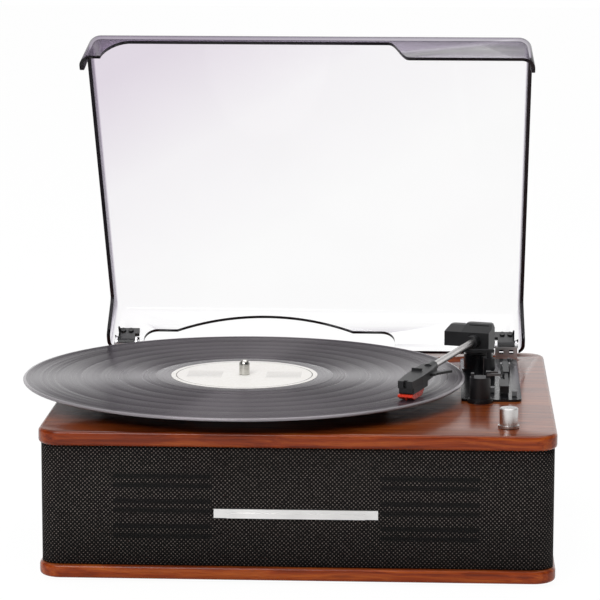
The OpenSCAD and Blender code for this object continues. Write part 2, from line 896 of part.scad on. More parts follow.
module record() {
    color("#18171b") translate([spindle_x, spindle_y, record_z])
        rotate_extrude($fn = 180) polygon([
            [spindle_r + 0.06, 0],
            [record_r - 0.6, 0],
            [record_r, 0.5],
            [record_r, record_t - 0.3],
            [record_r - 0.6, record_t + label_t],
            [record_r - 3.4, record_t + label_t],
            [record_r - 4.4, record_t],
            [spindle_r + 0.06, record_t]
        ]);
}

module record_label() {
    color("beige") translate([spindle_x, spindle_y, record_z + record_t]) difference() {
        cylinder(r = label_r, h = label_t);
        translate([0, 0, -1]) cylinder(r = spindle_r + 0.06, h = label_t + 2);
    }
}

// Tonearm base
module at_plate_screws() {
    for (p = [[plate_left + 5, plate_back - 5], [plate_right - 5, plate_back - 5]])
        translate([p[0], p[1], plate_top]) rotate([180, 0, 0]) children();
}

module speed_slot(z, h) {
    translate([
        speed_x - switch_stem_w / 2 - 0.3,
        speed_y - switch_stem_l / 2 - 0.5,
        z
    ])
        cube([switch_stem_w + 0.6, switch_stem_l + speed_travel + 1, h]);
}

module stop_slot(z, h) {
    translate([
        stop_x - switch_stem_w / 2 - 0.3,
        stop_y - switch_stem_l / 2 - 0.5,
        z
    ])
        cube([switch_stem_w + 0.6, switch_stem_l + stop_travel + 1, h]);
}

module arm_plate() {
    color("#151518") difference() {
        translate([0, 0, deck_z]) linear_extrude(plate_t) difference() {
            union() {
                translate([(plate_left + plate_right) / 2, (plate_front + plate_back) / 2])
                    round_rect(plate_right - plate_left, plate_back - plate_front, plate_r);
                translate([rest_x, rest_y]) circle(r = rest_r + 1.8);
            }
            translate([arm_x, arm_y]) circle(r = 5);
        }
        at_plate_screws() translate([0, 0, -1]) cylinder(r = small_r + hole_gap, h = plate_t + 2);
        speed_slot(deck_z - 1, plate_t + 2);
        stop_slot(deck_z - 1, plate_t + 2);
    }
}

module arm_column() {
    color("#1b1b1e") translate([arm_x, arm_y, 0]) difference() {
        union() {
            translate([0, 0, plate_top]) cylinder(r = column_r + 1.2, h = 1.5);
            translate([0, 0, plate_top]) cylinder(r = column_r, h = column_top - plate_top);
        }
        translate([0, 0, plate_top - 1]) cylinder(r = 4 + shaft_gap, h = 30);
    }
}

module arm_rest() {
    color("#1f1f22") translate([rest_x, rest_y, 0]) difference() {
        union() {
            translate([0, 0, plate_top]) cylinder(r = rest_r + 1.2, h = 1.2);
            translate([0, 0, plate_top]) cylinder(r = rest_r, h = deck_z + rest_up - plate_top);
            translate([rest_r - 3.2, -2.5, deck_z + rest_up - 1])
                cube([3.2, 5, clip_z + 1.6 - deck_z - rest_up + 1]);
            translate([-rest_r + 0.8, -2.5, deck_z + rest_up - 1]) cube([2, 5, 3.6]);
        }
        translate([clip_x - rest_x, -6, clip_z]) along_y()
            cylinder(r = clip_pin_r + hole_gap, h = 12);
    }
}

module rest_clip() {
    color("silver") translate([clip_x, rest_y, clip_z]) {
        translate([0, -4.6, 0]) along_y() cylinder(r = clip_pin_r, h = 9.2);
        for (y = [-4.6, 3.2])
            translate([-0.8, y, -0.8]) cube([9, 1.4, 1.6]);
        translate([6.6, -4.6, -0.8]) cube([1.6, 9.2, 1.6]);
    }
}

module cue_cylinder() {
    color("#1b1b1e") translate([lift_x, lift_y, plate_top]) difference() {
        cylinder(r = cylinder_r, h = cylinder_top - plate_top);
        translate([0, 0, 1]) cylinder(r = lift_pin_r + shaft_gap, h = 30);
    }
}

module cue_platform() {
    color("#202024") {
        translate([lift_x, lift_y, plate_top + 1.5])
            cylinder(r = lift_pin_r, h = lift_top - lift_bar_t / 2 - plate_top - 1.5);
        translate([arm_x, arm_y, lift_top - lift_bar_t]) linear_extrude(lift_bar_t)
            intersection() {
                difference() {
                    circle(r = lift_r + lift_bar_w / 2);
                    circle(r = lift_r - lift_bar_w / 2);
                }
                polygon([
                    [0, 0],
                    [60 * sin(20), -60 * cos(20)],
                    [0, -60],
                    [-60 * sin(32), -60 * cos(32)]
                ]);
            }
    }
}

module cue_lever() {
    color("#161619") difference() {
        union() {
            translate([lever_x - lever_w / 2, 32, lever_pivot_z - 2])
                cube([lever_w, lever_pivot_y - 32 + 10, 4]);
            translate([lever_x - 1.2, 0, lever_pivot_z - 1.6]) cube([2.4, 33, 2.8]);
            translate([lever_x - 5.2, -24, lever_pivot_z - 2]) cube([6, 25, 4.6]);
        }
        translate([lever_x - 5, lever_pivot_y, lever_pivot_z]) along_x()
            cylinder(r = lever_pin_r + shaft_gap, h = 10);
    }
}

module cue_bracket() {
    color("silver") translate([lever_x, lever_pivot_y, plate_top]) {
        for (x = [-lever_w / 2 - gap - 1, lever_w / 2 + gap])
            translate([x, -3, 0]) cube([1, 6, lever_pivot_z - plate_top + 2.4]);
        translate([-lever_w / 2 - gap - 1, -3, 0]) cube([lever_w + 2 * gap + 2, 6, 0.8]);
        translate([-lever_w / 2 - gap - 1, 0, lever_pivot_z - plate_top]) along_x()
            cylinder(r = lever_pin_r, h = lever_w + 2 * gap + 2);
    }
}

module slide_switch(x, y) {
    translate([x, y, plate_top + gap]) {
        translate([-switch_w / 2, -switch_l / 2, 0]) cube([switch_w, switch_l, switch_h]);
        translate([-switch_stem_w / 2, -switch_stem_l / 2, -plate_t - gap - 5])
            cube([switch_stem_w, switch_stem_l, plate_t + gap + 6]);
    }
}

module speed_switch() {
    color("gray") slide_switch(speed_x, speed_y);
}

module autostop_switch() {
    color("gray") slide_switch(stop_x, stop_y);
}

// Everything on the arm is drawn straight ahead of the pivot, then turned inward.
module at_arm() {
    translate([arm_x, arm_y, 0]) rotate([0, 0, -arm_turn]) children();
}

module arm_yoke() {
    color("#1b1b1e") at_arm() difference() {
        union() {
            translate([0, 0, deck_z + 2.2]) cylinder(r = 4, h = yoke_low - deck_z);
            translate([0, 0, yoke_low]) cylinder(r = yoke_r, h = yoke_t);
            translate([-tongue_w / 2, -tongue_l / 2, yoke_low + 1])
                cube([tongue_w, tongue_l, arm_z + 3.2 - yoke_low - 1]);
        }
        translate([-tongue_w, 0, arm_z]) along_x()
            cylinder(r = pin_r + shaft_gap, h = 2 * tongue_w);
    }
}

module arm_pivot_pin() {
    color("silver") at_arm() translate([housing_left + 1, 0, arm_z]) along_x()
        cylinder(r = pin_r, h = housing_right - housing_left - 2);
}

module housing_plan(left, right) {
    translate([0, 0, deck_z]) linear_extrude(60) polygon([
        [left, housing_front],
        [right, housing_front],
        [right, housing_ridge],
        [right - 6, housing_rear],
        [left + 4, housing_rear],
        [left, housing_rear - 5]
    ]);
}

// One block of the housing: its side view, between the ends left and right.
module housing_block(left, right, low, top) {
    intersection() {
        translate([left, 0, 0]) rotate([90, 0, 90]) linear_extrude(right - left) polygon([
            [housing_front, low],
            [housing_front, min(housing_brow, top)],
            [housing_ridge, top],
            [housing_rear - 3, top],
            [housing_rear, top - 3],
            [housing_rear, low]
        ]);
        housing_plan(left, right);
    }
}

module arm_housing() {
    color("#1d1d20") at_arm() difference() {
        union() {
            difference() {
                housing_block(housing_left, housing_right, housing_low, housing_top);
                translate([housing_right, 0, housing_top]) rotate([90, 45, 0])
                    cube([housing_chamfer, housing_chamfer, 60], center = true);
            }
            housing_block(lobe_left, housing_left + 1, lobe_low, lobe_top);
            translate([0, housing_front - boss_l, arm_z])
                along_y() cylinder(r = boss_r, h = boss_l + 1);
        }
        // pocket for the yoke's tongue
        translate([-tongue_w / 2 - gap, -tongue_l / 2 - 3, housing_low - 1])
            cube([tongue_w + 2 * gap, tongue_l + 6, arm_z + 5.2 - housing_low + 1]);
        translate([housing_left + 0.8, 0, arm_z]) along_x()
            cylinder(r = pin_r + shaft_gap, h = housing_right - housing_left - 1.6);
        translate([0, -shell_start - 1, arm_z]) along_y()
            cylinder(r = tube_r + hole_gap, h = shell_start - tube_start + 1);
        // slot across the top
        translate([housing_left + 2.5, housing_ridge - 4, housing_top - 2])
            cube([housing_right - housing_left - 6, 1.4, 4]);
    }
}

module arm_tube() {
    color("silver") at_arm() translate([0, -shell_start - 3, arm_z]) along_y() difference() {
        cylinder(r = tube_r, h = shell_start + 3 - tube_start);
        translate([0, 0, -1]) cylinder(r = tube_r - 0.6, h = shell_start - tube_start + 6);
    }
}

// The headshell's outline from above, wide at its middle.
module shell_plan() {
    polygon([
        [-5, -shell_start - neck_l],
        [5, -shell_start - neck_l],
        [shell_w / 2, -shell_start - neck_l - 15],
        [shell_w / 2, -shell_start - shell_side_l],
        [shell_tip_w / 2, -shell_end],
        [1.3, -shell_end],
        [1.3, -shell_end + 3],
        [-1.3, -shell_end + 3],
        [-1.3, -shell_end],
        [-shell_tip_w / 2, -shell_end],
        [-shell_w / 2, -shell_start - shell_side_l],
        [-shell_w / 2, -shell_start - neck_l - 15]
    ]);
}

module headshell() {
    color("#222226") at_arm() difference() {
        union() {
            translate([0, 0, arm_z]) rotate([90, 0, 0]) translate([0, 0, shell_start])
                cylinder(r = tube_r + 1.2, h = 12);
            intersection() {
                translate([shell_w / 2, 0, 0]) rotate([90, 0, -90]) linear_extrude(shell_w)
                    polygon([
                        [shell_start + neck_l, arm_z + tube_r + 0.1],
                        [shell_end, shell_top],
                        [shell_end, shell_low],
                        [shell_start + 34, shell_low],
                        [shell_start + 20, arm_z - 3.4],
                        [shell_start + neck_l, arm_z - 3.4]
                    ]);
                translate([0, 0, deck_z]) linear_extrude(60) shell_plan();
            }
            // finger lift at the right, and the lug at the left
            translate([shell_w / 2 - 1, -shell_start - 26, arm_z - 1.8]) cube([4, 12, 1.6]);
            translate([shell_w / 2 + 1, -shell_start - 26, arm_z - 1.8])
                rotate([0, 0, 62]) cube([19, 3, 1.6]);
            translate([-shell_w / 2, -shell_start - 29, arm_z - 1]) cube([7, 1.6, 4.4]);
        }
        translate([0, 0, arm_z]) rotate([90, 0, 0]) translate([0, 0, shell_start - 1])
            cylinder(r = tube_r + hole_gap, h = 4.1);
    }
}

module cartridge() {
    color("#111113") at_arm() {
        translate([-cart_w / 2, -shell_end + 3, cart_low]) cube([cart_w, 32, shell_low - cart_low]);
        translate([-cart_w / 2 + 0.6, -shell_end + 0.6, cart_low + 1])
            cube([cart_w - 1.2, 4, shell_low - cart_low - 1]);
    }
}

module stylus_holder() {
    color("#e0402c") at_arm() {
        translate([cart_w / 2, 0, 0]) rotate([90, 0, -90]) linear_extrude(cart_w) polygon([
            [shell_end, cart_low],
            [shell_end, cart_low - 1.6],
            [shell_end - 5, stylus_low],
            [shell_end - 22, stylus_low],
            [shell_end - 27, cart_low]
        ]);
        translate([0, -arm_reach, record_top + tip_gap])
            cylinder(r1 = 0.25, r2 = 0.9, h = cart_low - 1 - record_top - tip_gap);
    }
}

// Volume control
module volume_pot() {
    color("steelblue") translate([knob_x, knob_y, 0]) difference() {
        union() {
            translate([0, 0, top_z - pot_h]) cylinder(r = pot_r, h = pot_h);
            translate([-pot_r + 1, 0, top_z - pot_h + 2]) cube([2 * pot_r - 2, pot_r + 4, 1.6]);
            translate([0, 0, top_z - 1]) cylinder(r = pot_bush_r, h = top_t);
        }
        translate([0, 0, top_z - pot_h + 1]) cylinder(r = pot_shaft_r + shaft_gap, h = 40);
    }
}

module pot_shaft() {
    color("silver") translate([knob_x, knob_y, top_z - pot_h + 1.3])
        cylinder(r = pot_shaft_r, h = pot_h + top_t + knob_h - 3);
}

module volume_knob() {
    color("silver") translate([knob_x, knob_y, deck_z + knob_lift]) difference() {
        union() {
            cylinder(r = flange_r, h = flange_h);
            cylinder(r = knob_r, h = knob_h - 0.6);
            translate([0, 0, knob_h - 0.6]) cylinder(r1 = knob_r, r2 = knob_r - 0.6, h = 0.6);
        }
        translate([0, 0, -1]) cylinder(r = pot_shaft_r + 0.03, h = knob_h - 0.4);
    }
}

// Hinges
module hinge_bracket(side) {
    color("lightgray") translate([side * hinge_x, 0, 0]) difference() {
        union() {
            translate([-bracket_w / 2, hinge_y - 9.5, deck_z]) cube([bracket_w, 15.5, bracket_t]);
            for (x = [-bracket_w / 2, bracket_w / 2 - ear_t]) {
                translate([x, hinge_y, hinge_z]) along_x() cylinder(r = ear_r, h = ear_t);
                translate([x, hinge_y - ear_r, deck_z]) cube([ear_t, 2 * ear_r, hinge_up]);
            }
            translate([-bracket_w / 2, hinge_y - 9.5, deck_z]) cube([bracket_w, bracket_t, 8]);
        }
        translate([-bracket_w, hinge_y, hinge_z]) along_x()
            cylinder(r = hinge_pin_r + hole_gap, h = 2 * bracket_w);
        for (x = [-3.6, 3.6])
            translate([x - 1.5, hinge_y - 11, deck_z + 3]) cube([3, 4, 3]);
        for (x = [-hinge_screw_x, hinge_screw_x])
            translate([x, hinge_y - hinge_screw_y, deck_z - 1])
                cylinder(r = screw_r + hole_gap, h = bracket_t + 2);
    }
}

module hinge_bracket_left() { hinge_bracket(-1); }
module hinge_bracket_right() { hinge_bracket(1); }

module hinge_pins() {
    color("silver") for (side = [-1, 1])
        translate([side * hinge_x - bracket_w / 2 - 0.6, hinge_y, hinge_z]) along_x()
            cylinder(r = hinge_pin_r, h = bracket_w + 1.2);
}

// The cover is drawn shut and swung open about the hinge axis.
module swung_open() {
    translate([0, hinge_y, hinge_z]) rotate([-open_angle, 0, 0])
        translate([0, -hinge_y, -hinge_z]) children();
}

// One level of the cover's outside at height z above its free edge, set in by extra.
module cover_level(z, extra) {
    front = lid_front + z * tan(front_slope) + extra;
    back = lid_back - z * tan(side_slope) - extra;
    w = lid_w - 2 * z * tan(side_slope) - 2 * extra;
    translate([0, (front + back) / 2, lid_low + z]) linear_extrude(eps)
        round_rect(w, back - front, lid_r - min(extra, lid_r - 3));
}

module cover_solid(extra, drop) {
    edge = lid_edge - extra / 2;
    hull() {
        cover_level(extra > 0 ? -2 : 0, extra);
        for (a = [0 : 22.5 : 90])
            cover_level(lid_h - drop - edge + edge * sin(a), extra + edge * (1 - cos(a)));
    }
}

// Outline of a cut-out between a and b, s deep, whose ends run up over e.
function notch_points(a, b, s, e) = concat(
    [[a - 0.01, -3]],
    [for (i = [0 : 8]) let (t = i / 8) [a + e * t, s * (1 - cos(180 * t)) / 2]],
    [for (i = [0 : 8]) let (t = 1 - i / 8) [b - e * t, s * (1 - cos(180 * t)) / 2]],
    [[b + 0.01, -3]]
);

// The front cut-out: its left end rises steeply, to clear the record's edge.
function front_points(a, b, s, e, f) = concat(
    [[a - 0.01, -3]],
    [for (i = [0 : 8]) let (t = i / 8) [a + e * pow(t, 1.6), s * (1 - pow(1 - t, 1.6))]],
    [for (i = [0 : 8]) let (t = 1 - i / 8) [b - f * t, s * (1 - cos(180 * t)) / 2]],
    [[b + 0.01, -3]]
);

module arch_outline() {
    translate([arch_x, 0]) {
        translate([-arch_w / 2, -3]) square([arch_w, arch_low + 3]);
        translate([-arch_w / 2 + arch_r, 0]) square([arch_w - 2 * arch_r, arch_shoulder]);
        for (x = [-1, 1])
            translate([x * (arch_w / 2 - arch_r), arch_shoulder - arch_r]) circle(r = arch_r);
    }
    intersection() {
        translate([arch_bow_x, arch_top - arch_bow]) circle(r = arch_bow, $fn = 180);
        translate([arch_bow_x - arch_bow_w / 2, arch_r]) square([arch_bow_w, 40]);
    }
}

module dust_cover() {
    color("#4a4458", 0.35) swung_open() difference() {
        cover_solid(0, 0);
        cover_solid(lid_t, lid_t);
        translate([0, 0, lid_low]) {
            for (side = [-1, 1])
                translate([side * (lid_w / 2 - 12), 0, 0]) rotate([90, 0, 90])
                    translate([0, 0, -12 - 3]) linear_extrude(30) polygon(notch_points(
                        lid_front + post_front, lid_back - post_rear + notch_run,
                        notch_d, notch_run
                    ));
            translate([0, lid_front + 30, 0]) rotate([90, 0, 0]) linear_extrude(40)
                polygon(front_points(front_left, front_right, notch_d, 16, 14));
            translate([0, lid_back + 5, 0]) rotate([90, 0, 0]) linear_extrude(20) arch_outline();
            for (side = [-1, 1])
                translate([side * hinge_x - bracket_w / 2 - cut_gap, lid_back - 10, -3])
                    cube([bracket_w + 2 * cut_gap, 20, cut_h + 3]);
        }
        at_cover_screws() cylinder(r = small_r + hole_gap, h = block_t + 8);
    }
}

module at_cover_screws() {
    for (side = [-1, 1], x = [-cover_screw_x, cover_screw_x])
        translate([side * hinge_x + x, block_face - block_t, hinge_z + cover_screw_up])
            along_y() children();
}

module hinge_block(side) {
    color("#19191c") swung_open() difference() {
        union() {
            translate([side * hinge_x - knuckle_w / 2, hinge_y, hinge_z]) along_x()
                cylinder(r = knuckle_r, h = knuckle_w);
            translate([side * hinge_x - knuckle_w / 2, block_face - block_t, hinge_z])
                cube([knuckle_w, block_t, web_h]);
            translate([side * (hinge_x + web_out - web_w / 2) - web_w / 2, block_face - block_t, hinge_z + web_low])
                cube([web_w, block_t, web_h - web_low]);
            translate([side * (hinge_x + web_out - fin_t / 2) - fin_t / 2, hinge_y, hinge_z])
                rotate([90, 0, 90]) linear_extrude(fin_t)
                    polygon([[-3.5, web_low], [-3.5, 9.5], [-10.6, 5.8], [-10.6, web_low - 0.6]]);
        }
        translate([side * hinge_x - knuckle_w, hinge_y, hinge_z]) along_x()
            cylinder(r = hinge_pin_r + hole_gap + 0.01, h = 2 * knuckle_w);
        at_cover_screws() translate([0, 0, -1]) cylinder(r = small_r + hole_gap, h = block_t + 2);
    }
}

module hinge_block_left() { hinge_block(-1); }
module hinge_block_right() { hinge_block(1); }

module cover_screws() {
    color("silver") swung_open() at_cover_screws() small_screw(block_t + 2);
}

base_board();
rubber_feet();
cabinet_frame();
corner_blocks();
front_baffle();
grille_cloth();
badge_bar();
back_panel();
dc_inlet();
line_out_sockets();
jack_socket();
top_board();
wood_screws();
speaker_left_basket();
speaker_left_cone();
speaker_left_magnet();
speaker_right_basket();
speaker_right_cone();
speaker_right_magnet();
amplifier_board();
board_standoffs();
chassis_plate();
machine_screws();
spindle_bush();
motor();
drive_belt();
arm_plate();
arm_column();
arm_rest();
cue_cylinder();
cue_bracket();
volume_pot();
hinge_bracket_left();
hinge_bracket_right();
hinge_pins();
platter();
platter_mat();
spindle();
record();
record_label();
motor_pulley();
arm_yoke();
arm_pivot_pin();
arm_housing();
arm_tube();
headshell();
cartridge();
stylus_holder();
cue_lever();
cue_platform();
rest_clip();
speed_switch();
autostop_switch();
pot_shaft();
volume_knob();
dust_cover();
hinge_block_left();
hinge_block_right();
cover_screws();
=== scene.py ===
import bpy
import bmesh
import json
import math
from mathutils import Matrix, Vector


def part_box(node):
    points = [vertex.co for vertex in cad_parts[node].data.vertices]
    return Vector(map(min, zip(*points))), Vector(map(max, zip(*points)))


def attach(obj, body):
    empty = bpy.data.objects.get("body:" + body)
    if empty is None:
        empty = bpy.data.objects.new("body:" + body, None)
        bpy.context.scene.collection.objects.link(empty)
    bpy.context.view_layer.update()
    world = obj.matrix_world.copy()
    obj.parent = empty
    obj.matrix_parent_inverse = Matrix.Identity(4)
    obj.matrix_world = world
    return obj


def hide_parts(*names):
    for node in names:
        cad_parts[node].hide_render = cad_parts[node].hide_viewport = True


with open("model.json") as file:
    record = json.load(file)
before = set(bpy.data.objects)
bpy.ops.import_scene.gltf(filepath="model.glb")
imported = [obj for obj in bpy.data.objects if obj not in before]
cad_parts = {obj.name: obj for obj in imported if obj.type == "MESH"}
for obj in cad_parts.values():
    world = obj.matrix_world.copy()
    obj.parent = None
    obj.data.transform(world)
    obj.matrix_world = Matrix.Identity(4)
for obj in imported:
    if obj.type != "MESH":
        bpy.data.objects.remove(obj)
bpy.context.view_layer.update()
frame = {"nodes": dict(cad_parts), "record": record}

# Camera and light

view = {
    "place": (0.09192, -1.93807, 0.47977),
    "lens": 172.15,
    "sensor": 36.0,
    "yaw": 2.86,
    "pitch": 9.3,
    "roll": 0.11,
}

# how bright the surroundings are from each direction, and where each fades
studio = {
    "front": 0.12, "frontFade": (-0.45, 0.35),
    "side": 0.3, "sideFade": (0.55, 0.95),
    "top": 0.9, "topFade": (0.6, 0.9),
    "belt": 0.3, "beltFade": (0.20, 0.45),
}

lamps = {
    "key": {"place": (-0.7, -1.9, 1.5), "target": (0, 0, 0.05), "size": (1.4, 1.0), "power": 34},
    "top": {"place": (0.1, 0.3, 1.7), "target": (0, 0, 0.1), "size": (1.3, 1.0), "power": 11},
}


def makeCamera():
    data = bpy.data.cameras.new("camera")
    data.lens = view["lens"]
    data.sensor_width = view["sensor"]
    data.clip_end = 30
    camera = bpy.data.objects.new("camera", data)
    bpy.context.scene.collection.objects.link(camera)
    turn = (
        Matrix.Rotation(math.radians(view["yaw"]), 4, "Z")
        @ Matrix.Rotation(math.radians(90 - view["pitch"]), 4, "X")
        @ Matrix.Rotation(math.radians(view["roll"]), 4, "Z")
    )
    camera.matrix_world = Matrix.Translation(view["place"]) @ turn
    bpy.context.scene.camera = camera


def makeLight(name, lampSet):
    data = bpy.data.lights.new(name, "AREA")
    data.shape = "RECTANGLE"
    data.size, data.size_y = lampSet["size"]
    data.energy = lampSet["power"]
    lamp = bpy.data.objects.new(name, data)
    bpy.context.scene.collection.objects.link(lamp)
    lamp.location = lampSet["place"]
    away = Vector(lampSet["place"]) - Vector(lampSet["target"])
    lamp.rotation_euler = away.to_track_quat("Z", "Y").to_euler()


def makeWorld():
    scene = bpy.context.scene
    world = bpy.data.worlds.new("world")
    scene.world = world
    world.use_nodes = True
    tree = world.node_tree
    tree.nodes.clear()

    def spread(source, low, high, fade):
        made = tree.nodes.new("ShaderNodeMapRange")
        made.interpolation_type = "SMOOTHSTEP"
        for key, value in (("From Min", fade[0]), ("From Max", fade[1]), ("To Min", low), ("To Max", high)):
            made.inputs[key].default_value = value
        tree.links.new(source, made.inputs["Value"])
        return made.outputs[0]

    def combine(operation, first, second):
        made = tree.nodes.new("ShaderNodeMath")
        made.operation = operation
        for socket, value in zip(made.inputs, (first, second)):
            if isinstance(value, (int, float)):
                socket.default_value = value
            else:
                tree.links.new(value, socket)
        return made.outputs[0]

    coords = tree.nodes.new("ShaderNodeTexCoord")
    split = tree.nodes.new("ShaderNodeSeparateXYZ")
    tree.links.new(coords.outputs["Generated"], split.inputs[0])
    x, y, z = split.outputs
    back = spread(y, studio["front"], 1.0, studio["frontFade"])
    flank = spread(combine("ABSOLUTE", x, 0), 1.0, studio["side"], studio["sideFade"])
    above = spread(z, 0.0, studio["top"], studio["topFade"])
    belt = spread(z, 1.0, studio["belt"], studio["beltFade"])
    sides = combine("MULTIPLY", combine("MULTIPLY", back, flank), belt)
    light = combine("MAXIMUM", sides, above)
    path = tree.nodes.new("ShaderNodeLightPath")  # the backdrop itself stays white
    strength = combine("MAXIMUM", light, path.outputs["Is Camera Ray"])
    background = tree.nodes.new("ShaderNodeBackground")
    background.inputs["Color"].default_value = (1, 1, 1, 1)
    tree.links.new(strength, background.inputs["Strength"])
    output = tree.nodes.new("ShaderNodeOutputWorld")
    tree.links.new(background.outputs[0], output.inputs[0])
    scene.view_settings.view_transform = "Standard"


makeCamera()
makeWorld()
for lampName, lampSet in lamps.items():
    makeLight(lampName, lampSet)
print("camera and light made")


# Helpers for materials

class Shade:
    def __init__(self, name):
        self.material = bpy.data.materials.new(name)
        self.material.use_nodes = True
        self.tree = self.material.node_tree
        self.tree.nodes.clear()
        self.output = self.tree.nodes.new("ShaderNodeOutputMaterial")
        self.main = self.tree.nodes.new("ShaderNodeBsdfPrincipled")
        self.join(self.main.outputs[0], self.output.inputs[0])

    def join(self, source, target):
        self.tree.links.new(source, target)

    def node(self, kind, **values):
        made = self.tree.nodes.new(kind)
        for key, value in values.items():
            setattr(made, key, value)
        return made

    def put(self, **values):
        for key, value in values.items():
            socket = self.main.inputs[key.replace("_", " ")]
            socket.default_value = (*value, 1) if isinstance(value, tuple) else value

    def place(self, scale=(1, 1, 1), turn=(0, 0, 0), shift=(0, 0, 0), source="Object"):
        coords = self.node("ShaderNodeTexCoord")
        mapping = self.node("ShaderNodeMapping")
        mapping.inputs["Scale"].default_value = scale
        mapping.inputs["Rotation"].default_value = turn
        mapping.inputs["Location"].default_value = shift
        self.join(coords.outputs[source], mapping.inputs["Vector"])
        return mapping.outputs[0]

    def polar(self, centre):  # the axes from a centre, and the distance in plan
        split = self.node("ShaderNodeSeparateXYZ")
        self.join(self.place(shift=(-centre[0], -centre[1], 0)), split.inputs[0])
        flat = self.node("ShaderNodeCombineXYZ")
        self.join(split.outputs[0], flat.inputs[0])
        self.join(split.outputs[1], flat.inputs[1])
        reach = self.node("ShaderNodeVectorMath", operation="LENGTH")
        self.join(flat.outputs[0], reach.inputs[0])
        return split.outputs, reach.outputs["Value"]

    def near(self, value, target, reach):  # 1 within reach of target, else 0
        gap = self.math("ABSOLUTE", self.math("SUBTRACT", value, target))
        return self.math("LESS_THAN", gap, reach)

    def noise(self, vector, scale, detail=3.0, rough=0.5):
        made = self.node("ShaderNodeTexNoise")
        made.inputs["Scale"].default_value = scale
        made.inputs["Detail"].default_value = detail
        made.inputs["Roughness"].default_value = rough
        self.join(vector, made.inputs["Vector"])
        return made.outputs["Fac"]

    def math(self, operation, first, second=None, third=None):
        made = self.node("ShaderNodeMath", operation=operation)
        for socket, value in zip(made.inputs, (first, second, third)):
            if value is None:
                continue
            if isinstance(value, (int, float)):
                socket.default_value = value
            else:
                self.join(value, socket)
        return made.outputs[0]

    def ramp(self, factor, *stops):
        made = self.node("ShaderNodeValToRGB")
        band = made.color_ramp
        while len(band.elements) < len(stops):
            band.elements.new(0.5)
        for element, (at, colour) in zip(band.elements, stops):
            element.position = at
            element.color = (*colour, 1)
        self.join(factor, made.inputs["Fac"])
        return made.outputs["Color"]

    def span(self, factor, low, high, start=0.0, stop=1.0):
        made = self.node("ShaderNodeMapRange")
        made.inputs["From Min"].default_value = start
        made.inputs["From Max"].default_value = stop
        made.inputs["To Min"].default_value = low
        made.inputs["To Max"].default_value = high
        self.join(factor, made.inputs["Value"])
        return made.outputs[0]

    def blend(self, factor, first, second, kind="MIX"):
        made = self.node("ShaderNodeMix", data_type="RGBA", blend_type=kind)
        for socket, value in zip((made.inputs[0], made.inputs[6], made.inputs[7]), (factor, first, second)):
            if isinstance(value, tuple):
                socket.default_value = (*value, 1)
            elif isinstance(value, (int, float)):
                socket.default_value = value
            else:
                self.join(value, socket)
        return made.outputs[2]

    def bump(self, height, strength, distance):
        made = self.node("ShaderNodeBump")
        made.inputs["Strength"].default_value = strength
        made.inputs["Distance"].default_value = distance
        self.join(height, made.inputs["Height"])
        self.join(made.outputs[0], self.main.inputs["Normal"])


def plastic(name, colour, rough=0.4, grain=900, depth=0.25, lighter=1.5):
    shade = Shade(name)
    vector = shade.place()
    cloud = shade.noise(vector, 40, 3)
    fine = shade.noise(vector, grain, 2)
    bright = tuple(min(1, c * lighter) for c in colour)
    shade.join(shade.ramp(cloud, (0.3, colour), (0.75, bright)), shade.main.inputs["Base Color"])
    shade.join(shade.span(fine, rough - 0.06, rough + 0.1), shade.main.inputs["Roughness"])
    shade.bump(fine, depth, 0.0002)
    return shade.material


def metal(name, colour, rough=0.25, stretch=(1, 1, 1), depth=0.15, scale=500):
    shade = Shade(name)
    vector = shade.place(scale=stretch)
    lines = shade.noise(vector, scale, 2)
    cloud = shade.noise(shade.place(), 30, 2)
    dark = tuple(c * 0.82 for c in colour)
    shade.join(shade.ramp(cloud, (0.3, dark), (0.7, colour)), shade.main.inputs["Base Color"])
    shade.join(shade.span(lines, rough - 0.07, rough + 0.12), shade.main.inputs["Roughness"])
    shade.put(Metallic=1.0)
    shade.bump(lines, depth, 0.0001)
    return shade.material


grainSet = {"along": 6, "across": 260, "bend": 6.0, "pores": (50, 1700, 1700), "figure": (4, 30, 30)}


